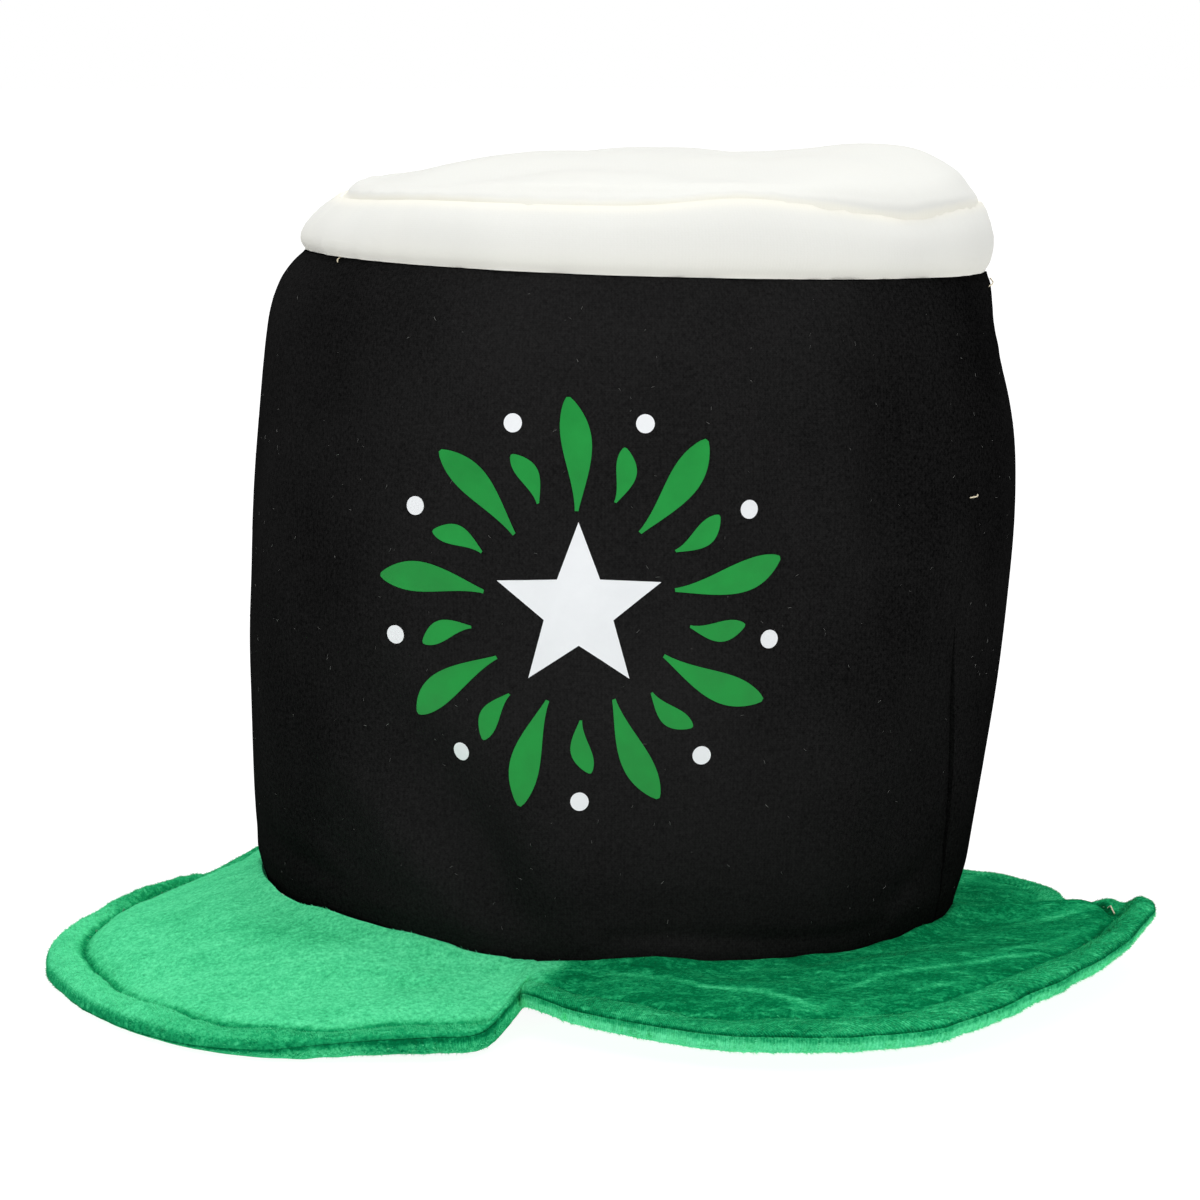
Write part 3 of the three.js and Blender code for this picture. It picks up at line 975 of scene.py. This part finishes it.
def brim_layer(name, upper, finish):
    """One velvet layer: its outer face, its turned edge, and its inner face at the middle of the brim."""
    rows = INNER_ROWS + OUTER_ROWS + UNDER_ROWS

    def surface(u, v):
        angle = brim_angles(u)
        row = np.round(v * rows)
        width = brim_width(angle)
        outer = OUTER_BAND * narrowed(width)
        away = blend(-WALL, width - outer, np.clip(row / INNER_ROWS, 0, 1))
        away = away + outer * (1 - (1 - np.clip((row - INNER_ROWS) / OUTER_ROWS, 0, 1)) ** OUTER_CROWDING)
        points, inside, run = brim_place(angle, away, upper)
        under = np.clip((row - INNER_ROWS - OUTER_ROWS - 1) / (UNDER_ROWS - 2), 0, 1)
        behind = (row > INNER_ROWS + OUTER_ROWS) & (row < rows)
        inner = blend(width - TURNED_IN, -WALL, under)
        radius = wall_foot(angle) + inner
        seam = brim_cloth("seam", angle) * smooth(0.6, 0.0, under) + (INNER_GAP if upper else -INNER_GAP)
        middle = np.maximum(brim_lie(angle, radius, inner), 0) + HALF_BRIM
        points[behind] = polar(angle, radius, middle + seam)[behind]
        first, *_ = brim_place(angle, np.full_like(u, -WALL), upper)
        points[row == rows] = first[row == rows]
        nap, rim = velvet_tone_and_painted_light(angle, inside, points, upper)
        return points, np.stack([run, inside], axis=1), {"nap": nap, "rim": rim}

    piece = grid(name, BRIM_COLUMNS, rows, surface)
    close(piece)
    wear(piece, finish, ["brim_upper" if upper else "brim_lower"], 75)


# How light the pile shows on the left, right and back lobes, on the upper layer, the lower layer and the
# rim: partly its nap, which runs another way on each lobe, partly painted sheen
UPPER_NAP_AND_PAINTED_SHEEN = np.array([0.81, 0.33, 0.35])
LOWER_NAP_AND_PAINTED_SHEEN = np.array([0.56, 0.87, 0.62])
EDGE_NAP_AND_PAINTED_SHEEN = np.array([0.0, 0.14, 0.10])
# How strong the crushed streaks are on each lobe
STREAK_NAP = np.array([0.012, 0.03, 0.035])
# Painted shade where the two layers meet at the edge, and in the quilting groove
SEAM_PAINTED_SHADE = np.array([0.0, -0.24, -0.24])
QUILT_PAINTED_SHADE = -0.42
CRUSH_FADE = 0.6


def velvet_tone_and_painted_light(angle, inside, points, upper):
    """How light the pile shows, as each lobe is cut with its nap another way, with its sheen painted in and
    painted shade in the seam, the quilting groove and the left lobe's rim, and how clear its rows are.
    """
    border = smooth(263, 257, angle + 2.0 - 0.12 * np.minimum(inside, 30))
    left = smooth(148, 156, angle) * border
    right = (1 - border) * smooth(366, 360, angle)
    back = 1 - np.maximum(left, right)
    lobes = np.stack([left, right, back], axis=1)
    if not upper:
        nap = lobes @ LOWER_NAP_AND_PAINTED_SHEEN + ripples(points[:, :2], *LOWER_CLOUDS)
        # Painted shade where the layers meet, and darker from 2 to 9 mm in
        return nap - 0.2 * smooth(2, 9, inside) - 0.3 * bell(inside / 0.22), np.full_like(angle, 0.6)
    edge = smooth(QUILT_INSET + 0.5, QUILT_INSET - 2, inside)
    x = points[:, 0] + AXIS[0]
    y = points[:, 1] + AXIS[1]
    # Nap and painted sheen of each lobe, and painted shade in the seam at the edge
    nap = lobes @ UPPER_NAP_AND_PAINTED_SHEEN + edge * (lobes @ EDGE_NAP_AND_PAINTED_SHEEN) + bell(inside / 0.4) * (lobes @ SEAM_PAINTED_SHADE)
    # Painted shade on the left lobe: along its hem, and on its rim at the front and the far left
    hem = smooth(1.5, 0.1, inside) * blend(0.36, 0.14, smooth(212, 234, angle))
    shaded = 0.24 * smooth(208, 236, angle) + 0.26 * smooth(182, 172, angle)
    nap -= left * (edge * shaded + hem)
    # Painted shade along the quilting groove
    groove = QUILT_INSET + 0.3 + 1.4 * smooth(214, 236, angle) * smooth(262, 256, angle)
    nap += QUILT_PAINTED_SHADE * bell((inside - groove) / 1.3) * quilt_depth(angle)
    for row in rows_of(CRUSHED):
        nap += row["light"] * mark(x, y, row, CRUSH_FADE)
    streak = ripples(np.stack([x * 0.25, y], axis=1), UPPER_STREAKS)
    streak += ripples(np.stack([x * 0.5, y], axis=1), UPPER_CLOUDS)
    nap += streak * (lobes @ STREAK_NAP)
    return nap, blend(0.12, 0.75, edge) * (right + back) + 0.1 * left


# Print: a burst of green rays round a white star, in thin glossy film

PRINT_ANGLE = 265.0
PRINT_UP = 118.0
FILM = 0.14
FILM_GAP = 0.05
RAYS = 18
LONG_RAY = {"start": 27, "end": 58, "width": 8.5}
SHORT_RAY = {"start": 31, "end": 46, "width": 6.0}
RAY_BEND = 6.0
RAY_GRID = {"x_subdivisions": 26, "y_subdivisions": 5}
STAR_RADIUS = 24.0
STAR_WAIST = 0.42
STAR_POINTS = 5
DOTS = 9
DOT_RING = 54.0
DOT_RADIUS = 2.6
FIRST_DOT = 110.0


def on_crown(piece):
    """Lays a flat drawing, in millimetres round its middle, on the front of the crown."""
    flat = places(piece)
    angle = PRINT_ANGLE + np.degrees(flat[:, 0] / CROWN_RADIUS)
    wanted = PRINT_UP + flat[:, 1]
    height = (wanted - BASE_HEIGHT) / CROWN_TALL
    for _ in range(4):
        height = height + (wanted - wall_place(angle, height)[:, 2]) / CROWN_TALL
    move(piece, (wall_place(angle, height, FILM_GAP) + AXIS) * MM)


def cut_out(corners, radius, cuts):
    """A flat round cut-out of film, as a fan of small faces."""
    piece = added(bpy.ops.mesh.primitive_circle_add, vertices=corners, radius=radius, fill_type="TRIFAN")
    shaped(piece, (bpy.ops.mesh.subdivide, {"number_cuts": cuts}))
    return piece


def star(radius):
    """A star with a tip at the top: every other corner of a cut-out is drawn in."""
    step = 180 / STAR_POINTS
    piece = cut_out(2 * STAR_POINTS, radius, 5)
    flat = places(piece)
    way = np.degrees(np.arctan2(flat[:, 1], flat[:, 0]))
    corner = (way - 90) % (2 * step)
    from_tip = np.minimum(corner, 2 * step - corner)
    side = radius * math.cos(math.radians(step / 2)) / np.cos(np.radians((way - 90) % step - step / 2))
    slant = np.sin(np.radians(from_tip)) + STAR_WAIST * np.sin(np.radians(step - from_tip))
    drawn = radius * STAR_WAIST * math.sin(math.radians(step)) / np.maximum(slant, 1e-6)
    move(piece, polar(way, np.hypot(flat[:, 0], flat[:, 1]) / side * drawn, np.zeros_like(way)))
    return piece


def dot(turned):
    """One of the dots that stand in a ring round the star."""
    piece = cut_out(24, DOT_RADIUS, 1)
    way = math.radians(turned)
    move(piece, places(piece) + np.array([DOT_RING * math.cos(way), DOT_RING * math.sin(way), 0]))
    return piece


def ray(turned, start, end, width):
    """One tapered ray of the burst, a little curved."""
    piece = added(bpy.ops.mesh.primitive_grid_add, size=2, **RAY_GRID)
    flat = places(piece)
    t = (flat[:, 0] + 1) / 2
    half = width / 2 * (0.12 + 0.88 * np.sin(np.pi * np.clip(t, 0, 1) ** 1.6) ** 0.8)
    along = blend(start, end, t)
    aside = flat[:, 1] * half + RAY_BEND * (t - 0.3) ** 2
    way = math.radians(turned)
    x = along * math.cos(way) - aside * math.sin(way)
    y = along * math.sin(way) + aside * math.cos(way)
    move(piece, np.stack([x, y, np.zeros_like(x)], axis=1))
    return piece


def pressed(name, cuts, finish):
    """Joins cut-outs of one colour, lays them on the crown and gives the film its thickness."""
    take(cuts[0])
    for piece in cuts:
        piece.select_set(True)
    bpy.ops.object.join()
    piece = bpy.context.active_object
    call(piece, name)
    on_crown(piece)
    thicken(piece, FILM, 1.0)
    wear(piece, finish)


def print_on_crown():
    rays = []
    for number in range(RAYS):
        size = SHORT_RAY if number % 2 else LONG_RAY
        rays.append(ray(90 + number * 360 / RAYS, **size))
    pressed("print_rays", rays, film("green_film", (0.012, 0.34, 0.054), (0.008, 0.24, 0.037)))
    whites = [star(STAR_RADIUS)]
    for number in range(DOTS):
        whites.append(dot(FIRST_DOT + number * 360 / DOTS))
    pressed("print_star", whites, film("white_film", (0.90, 0.92, 0.94), (0.82, 0.84, 0.86)))


# Stitches, thread ends and lint

STITCH_PITCH = 3.4
STITCH_LENGTH = 2.7
STITCH_RADIUS = 0.3
STITCH_LIFT = 0.45
# How far the stitches sink into the upper layer, in faint and in deep quilting, and into the lower layer
UPPER_SINK = (0.95, 0.42)
LOWER_SINK = 0.1
# The thread end in the groove at the right tip
TIP_END = table(
    "angle away out",
    (353.5, 45.0, -0.5),
    (353.0, 46.0, 1.0),
    (352.5, 46.3, 1.2),
    (352.0, 46.6, 1.2),
    (351.2, 47.4, 0.5),
)
TIP_END_RADIUS = 0.22
# Thread ends at the wall, and how each stands out along its way
WALL_ENDS = table(
    "angle up turned long",
    (333, 128, 20, 2.6),
    (211, 190.5, -50, 2.2),
    (352, 186, 40, 4),
    (170, 150, 70, 6),
    (60, 20, 10, 6),
)
WALL_END_ARC = ((0.0, -0.6), (0.3, 0.7), (0.5, 1.2), (0.7, 1.3), (1.0, 0.8))
WALL_END_RADIUS = 0.2


def capsule(length, radius, sides, rings):
    """One stitch: a short rod with rounded ends, along X."""
    piece = added(bpy.ops.mesh.primitive_uv_sphere_add, segments=sides, ring_count=rings, radius=radius)
    shape = places(piece)
    shape[:, [0, 2]] = shape[:, [2, 0]]
    shape[:, 0] += np.sign(np.round(shape[:, 0], 6)) * (length / 2 - radius)
    shape[:, 2] += 0.25 * radius * (1 - (2 * shape[:, 0] / length) ** 2)
    move(piece, shape)
    return piece


def copied(name, pattern, spots, along, up, finish, sizes=None, tones=None, angle=SMOOTH_ANGLE):
    """Copies one small shape to many places, turned along and up, as one piece. Tones pick its finishes."""
    along = along / np.linalg.norm(along, axis=1, keepdims=True)
    side = np.cross(up, along)
    side /= np.linalg.norm(side, axis=1, keepdims=True)
    turned = np.stack([along, side, np.cross(along, side)], axis=1)
    shape = places(pattern)
    sizes = np.ones(len(spots)) if sizes is None else sizes
    points = np.einsum("vk,nkc->nvc", shape, turned) * sizes[:, None, None] + spots[:, None, :]
    faces = [list(face.vertices) for face in pattern.data.polygons]
    count = len(shape)
    every = [[corner + count * n for corner in face] for n in range(len(spots)) for face in faces]
    take(pattern)
    bpy.ops.object.delete()
    mesh = bpy.data.meshes.new(name)
    mesh.from_pydata(((points + AXIS) * MM).reshape(-1, 3).tolist(), [], every)
    piece = bpy.data.objects.new(name, mesh)
    bpy.context.scene.collection.objects.link(piece)
    face_outwards(piece)
    wear(piece, finish, (), angle)
    if tones is not None:
        mesh.polygons.foreach_set("material_index", np.repeat(tones, len(faces)).astype(np.int32))


def quilting_stitches(name, upper, finish):
    """The row of stitches that quilts the brim, sunk in its groove."""
    angle = brim_angles(np.linspace(0, 1, 6001)[:-1])
    width = brim_width(angle)
    line, *_ = brim_place(angle, width - QUILT_INSET * narrowed(width), upper)
    line[:, 2] += -blend(*UPPER_SINK, quilt_depth(angle)) if upper else LOWER_SINK
    step = np.linalg.norm(np.diff(line, axis=0, append=line[:1]), axis=1)
    run = np.concatenate([[0], np.cumsum(step)])
    looped = np.vstack([line, line[:1]])

    def along(way):
        return np.stack([np.interp(way % run[-1], run, looped[:, k]) for k in range(3)], axis=1)

    count = int(run[-1] / STITCH_PITCH)
    middle = (np.arange(count) + 0.5) * run[-1] / count
    at = along(middle)
    ahead = along(middle + 0.8)
    at[:, 2] = np.maximum(at[:, 2], STITCH_LIFT)
    up = np.tile([0.0, 0.0, 1.0 if upper else -1.0], (count, 1))
    copied(name, capsule(STITCH_LENGTH, STITCH_RADIUS, 5, 5), at, ahead - at, up, finish)


def strand(name, points, radius, finish):
    """A loose end of thread along five points, in millimetres."""
    piece = added(bpy.ops.curve.primitive_nurbs_path_add)
    call(piece, name)
    piece.data.bevel_depth = radius * MM
    piece.data.bevel_resolution = 2
    piece.data.use_fill_caps = True
    spline = piece.data.splines[0]
    for spot, place in zip(spline.points, (np.array(points) + AXIS) * MM):
        spot.co = (*place, 1.0)
    spline.use_endpoint_u = True
    spline.order_u = 3
    bpy.ops.object.convert(target="MESH")
    wear(bpy.context.active_object, finish)


def on_wall(angle, up, out):
    """A place at the wall, that many millimetres up and out from it."""
    return wall_place(np.array([float(angle)]), np.array([up / CROWN_TALL]), out)[0]


def on_brim(angle, away, out):
    """A place on top of the brim, that far from the wall and that far up from the cloth."""
    points, *_ = brim_place(np.array([float(angle)]), np.array([float(away)]), True)
    return points[0] + np.array([0.0, 0.0, out])


def thread_ends():
    cream = thread("cream_thread", (0.62, 0.55, 0.40))
    strand("thread_end_6", [on_brim(**row) for row in rows_of(TIP_END)], TIP_END_RADIUS, cream)
    for number, end in enumerate(rows_of(WALL_ENDS)):
        way = math.radians(end["turned"])
        round_it = math.degrees(end["long"] * math.cos(way) / CROWN_RADIUS)
        rise = end["long"] * math.sin(way)
        points = []
        for t, out in WALL_END_ARC:
            points.append(on_wall(end["angle"] + t * round_it, end["up"] + t * rise, out))
        strand(f"thread_end_{number + 1}", points, WALL_END_RADIUS, cream)


def lint(count, seed):
    """Short pale fibres that cling to the crown."""
    draw = np.random.default_rng(seed)
    angle = draw.uniform(0, 360, count)
    height = draw.uniform(0.02, 0.98, count)
    way = draw.uniform(0, np.pi, count)
    long = draw.uniform(0.25, 0.8, count)
    at = wall_place(angle, height, 0.12)
    ahead = wall_place(angle + np.cos(way) * 0.6, np.clip(height + np.sin(way) * 0.006, 0, 1), 0.14)
    up = polar(angle, np.ones(count), np.zeros(count))
    pale = Finish("lint", Roughness=0.9)
    finish = pale.feed(Base_Color=pale.mix(pale.noise(6, 1), (0.06, 0.065, 0.065), (0.34, 0.34, 0.32)))
    copied("lint", capsule(1.6, 0.055, 4, 4), at, ahead - at, up, finish, long)


# Pile of the velvet

PILE_TONES = (
    (0.002, 0.085, 0.028),
    (0.007, 0.19, 0.066),
    (0.024, 0.37, 0.145),
    (0.070, 0.60, 0.265),
    (0.135, 0.80, 0.40),
)
TONE_STEPS = (0.2, 0.42, 0.64, 0.88)
TONE_SPREAD = 0.12
PILE_LENGTH = 1.05
PILE_RADIUS = 0.12
PILE_WILDNESS = 0.22
ROOT_DEPTH = 0.15
FLOOR_GAP = 0.12
NEAR_FLOOR = 1.6
FIELD_BAND = (9, 70)
EDGE_BAND = (0, 9)
HEM_BAND = (0, 3)
HEM_COUNT = 6000
# Counts are for a lobe of this many degrees, and an even spread for places this far from the axis
PILE_ARC = 107.0
PILE_REACH = 175.0
PROBE = 0.05


def pile_spots(draw, count, band, first, last):
    """Random places on the brim between two angles, in a band inside its edge, even over its area."""
    low, high = band
    angle = draw.uniform(first, last, 4 * count)
    share = draw.uniform(0, 1, 4 * count)
    chance = draw.uniform(0, 1, 4 * count)
    width = brim_width(angle)
    reach = np.minimum(high * narrowed(width), width - 1.0)
    start = np.minimum(low * narrowed(width), reach)
    away = width - blend(start, reach, share)
    keep = chance * PILE_REACH * (high - low) < (wall_foot(angle) + away) * (reach - start)
    return angle[keep][:count], away[keep][:count]


def pile_roots(angle, away, upper):
    """Places on a layer, the way its cloth faces there, and how light its pile shows, with its painted sheen
    and shade.
    """
    at, inside, _ = brim_place(angle, away, upper)
    aside, *_ = brim_place(angle + PROBE, away, upper)
    ahead, *_ = brim_place(angle, away - PROBE, upper)
    face = np.cross(aside - at, at - ahead)
    face /= np.linalg.norm(face, axis=1, keepdims=True)
    face *= np.where((face[:, 2:] > 0) == upper, 1, -1)
    nap, _ = velvet_tone_and_painted_light(angle % 360, inside, at, upper)
    return at, face, nap


def fibre():
    """One fibre of the pile, flat and pointed, along X."""
    piece = added(
        bpy.ops.mesh.primitive_cone_add, vertices=3, radius1=PILE_RADIUS / PILE_LENGTH, radius2=0, depth=1
    )
    shape = places(piece)
    move(piece, np.stack([shape[:, 2] + 0.5, shape[:, 0], 0.5 * shape[:, 1]], axis=1))
    return piece


def pile(name, first, last, lean, field, edge, finishes, seed):
    """The short fibres of one lobe, which lean the way its nap runs. The edge has the most."""
    draw = np.random.default_rng(seed)
    arc = (last - first) / PILE_ARC
    groups = (
        (field, FIELD_BAND, True, 0.34),
        (edge, EDGE_BAND, True, 0.5),
        (HEM_COUNT, HEM_BAND, False, 0.7),
    )
    roots = []
    for count, band, upper, stand in groups:
        angle, away = pile_spots(draw, int(count * arc), band, first, last)
        roots.append((*pile_roots(angle, away, upper), np.full((len(angle), 1), stand)))
    at, face, nap, stand = (np.concatenate(parts) for parts in zip(*roots))
    wild = draw.normal(size=at.shape)
    nap_way = np.array([*lean, 0.0])
    lying = nap_way - face * (face @ nap_way)[:, None]
    way = stand * face + lying + PILE_WILDNESS * wild
    sizes = PILE_LENGTH * draw.uniform(0.6, 1.2, len(at))
    at = at - ROOT_DEPTH * face
    at[:, 2] = np.maximum(at[:, 2], FLOOR_GAP)
    way[:, 2] = np.where(at[:, 2] < NEAR_FLOOR, np.maximum(way[:, 2], 0.05), way[:, 2])
    # Fibres are painted a step lighter to make up for the shade they cast on one another, and those that
    # face down lighter still
    shade = nap + np.where(face[:, 2] < 0, 0.2, 0.1) + TONE_SPREAD * draw.normal(size=len(at))
    tones = np.searchsorted(TONE_STEPS, shade)
    copied(name, fibre(), at, way, face + 0.2 * wild, finishes, sizes, tones, 1)


def pile_finishes():
    made = []
    for number, colour in enumerate(PILE_TONES):
        name = f"velvet_pile_{number + 1}"
        made.append(Finish(name, Base_Color=(*colour, 1.0), Roughness=0.6, Specular_IOR_Level=0.0).material)
    return made


# Studio, in metres

CAMERA_PLACE = (-0.00063, -1.1215, 0.2718)
CAMERA_PITCH = 8.43
CAMERA_LENS = 113.34
CAMERA_SENSOR = 36
FLOOR_SIZE = 40
FLOOR_DROP = 0.0003
LIGHTS = table(
    "x y z size watts",
    (-0.25, -1.25, 1.6, 1.0, 12.0),
    (1.3, -1.35, 1.1, 1.2, 3.2),
    (0.1, 0.1, 1.95, 1.4, 12.0),
)
LIT_PLACE = np.array([0, 0, 0.1])
SKY_GREY = (0.16, 0.16, 0.16)


def studio_floor():
    """A floor that glows almost to white near the hat, and to white farther off."""
    floor = added(bpy.ops.mesh.primitive_plane_add, size=FLOOR_SIZE, location=(0, 0, -FLOOR_DROP))
    floor.name = "studio_floor"
    pale = Finish("pale_floor", Roughness=0.9, Emission_Strength=1.0, Specular_IOR_Level=0.0)
    far = pale.node("VectorMath", {"operation": "LENGTH"}, {0: pale.spot()}, "Value")
    glow = pale.mix(pale.clamp((far - 0.2) / 0.5), (0.94, 0.94, 0.94), WHITE)
    tone = pale.mix(pale.noise(900, 2), (0.19, 0.19, 0.19), (0.21, 0.21, 0.21))
    floor.data.materials.append(pale.feed(Base_Color=tone, Emission_Color=glow))


def studio_camera():
    turned = (math.radians(90 - CAMERA_PITCH), 0, 0)
    camera = added(bpy.ops.object.camera_add, location=CAMERA_PLACE, rotation=turned)
    camera.data.lens = CAMERA_LENS
    camera.data.sensor_width = CAMERA_SENSOR
    bpy.context.scene.camera = camera


def studio_lights():
    for row in rows_of(LIGHTS):
        place = np.array([row["x"], row["y"], row["z"]])
        light = added(bpy.ops.object.light_add, type="AREA", location=tuple(place))
        light.data.size = row["size"]
        light.data.energy = row["watts"]
        aim = LIT_PLACE - place
        yaw = math.atan2(aim[1], aim[0]) - math.pi / 2
        tilt = math.atan2(math.hypot(aim[0], aim[1]), -aim[2])
        light.rotation_euler = (tilt, 0, yaw)


def studio_sky():
    """A grey sky, white overhead and low down behind the hat."""
    world = bpy.data.worlds.new("studio")
    world.use_nodes = True
    sky = Nodes(world.node_tree)
    way = sky.node("TexCoord", output="Generated")
    ahead = sky.part(way, 1)
    up = sky.part(way, 2)
    behind = sky.clamp((ahead - 0.75) / 0.2) * sky.clamp((0.28 - up.absolute()) / 0.16)
    ring = sky.mix(behind, SKY_GREY, WHITE)
    colour = sky.mix(sky.clamp((up - 0.45) / 0.4), ring, WHITE)
    world.node_tree.links.new(colour.socket, world.node_tree.nodes["Background"].inputs["Color"])
    bpy.context.scene.world = world


def studio():
    studio_floor()
    studio_camera()
    studio_lights()
    studio_sky()
    bpy.context.scene.view_settings.view_transform = "Standard"


studio()
knit = black_knit()
froth = white_knit()
velvet = green_velvet()
crown_panel("crown_front_cloth", False, knit)
crown_panel("crown_back_cloth", True, knit)
froth_band("froth_band_front_cloth", False, froth)
froth_band("froth_band_back_cloth", True, froth)
froth_top("froth_top_cloth", froth)
brim_layer("brim_upper_velvet", True, velvet)
brim_layer("brim_lower_velvet", False, velvet)
print_on_crown()
green_thread = thread("green_thread", (0.006, 0.17, 0.058))
quilting_stitches("quilting_upper", True, green_thread)
quilting_stitches("quilting_lower", False, green_thread)
thread_ends()
lint(560, 83)
fibres = pile_finishes()
pile("pile_left", 150, 257, (-0.5, 0.85), 10000, 9000, fibres, 91)
pile("pile_right", 257, 365, (0.8, -0.6), 12000, 9000, fibres, 92)
pile("pile_back", 5, 150, (0.7, 0.7), 9000, 8000, fibres, 93)
